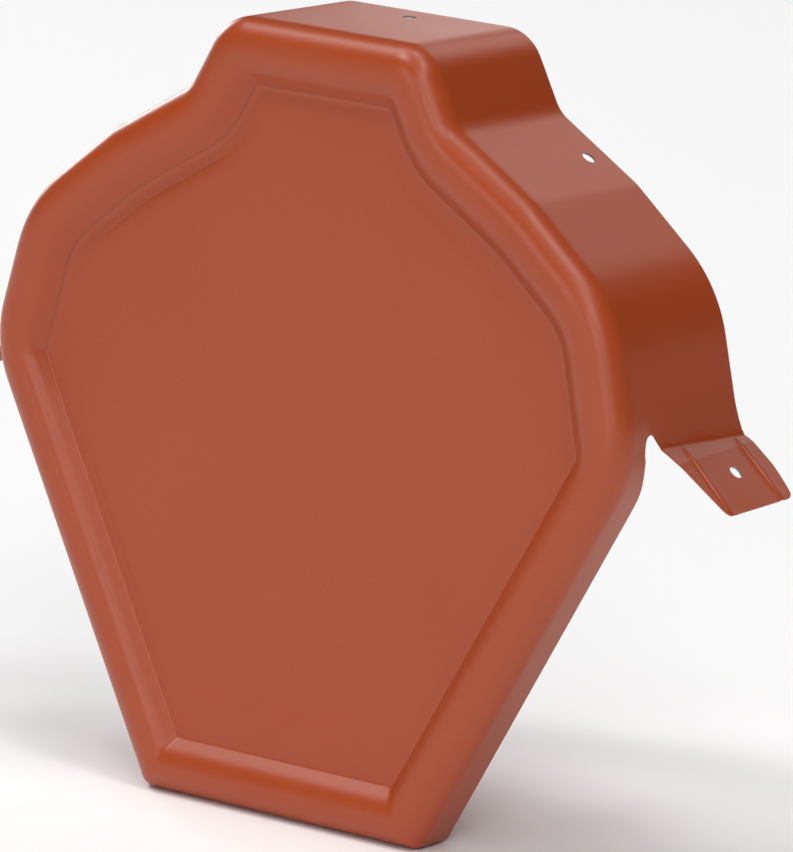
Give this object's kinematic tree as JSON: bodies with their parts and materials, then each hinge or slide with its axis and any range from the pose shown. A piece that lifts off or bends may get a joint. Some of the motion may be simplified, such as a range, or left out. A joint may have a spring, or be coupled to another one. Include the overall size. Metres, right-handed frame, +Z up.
{
  "type": "ridge end cap",
  "caption": "Pressed sheet-metal cap that closes the gable end of a roof ridge: shaped pan with a rolled rim, deep skirt and flared fixing tabs.",
  "frame": {"origin": "middle of the seat, the flat underside of the crown that rests on the top of the ridge tile", "axes": "+Z up; the face looks towards -Y and the skirt runs back over the ridge towards +Y; +X to the right seen from the front; the part is mirror-symmetric about X = 0"},
  "size_m": [0.3046, 0.0728, 0.2656],
  "materials": {
    "tile_red_coating": "satin tile-red factory coating with a very fine grain on galvanised steel, bare zinc-grey at the cut edges"
  },
  "bodies": {
    "root": {"ridge_cap": "tile_red_coating"}
  },
  "joints": []
}
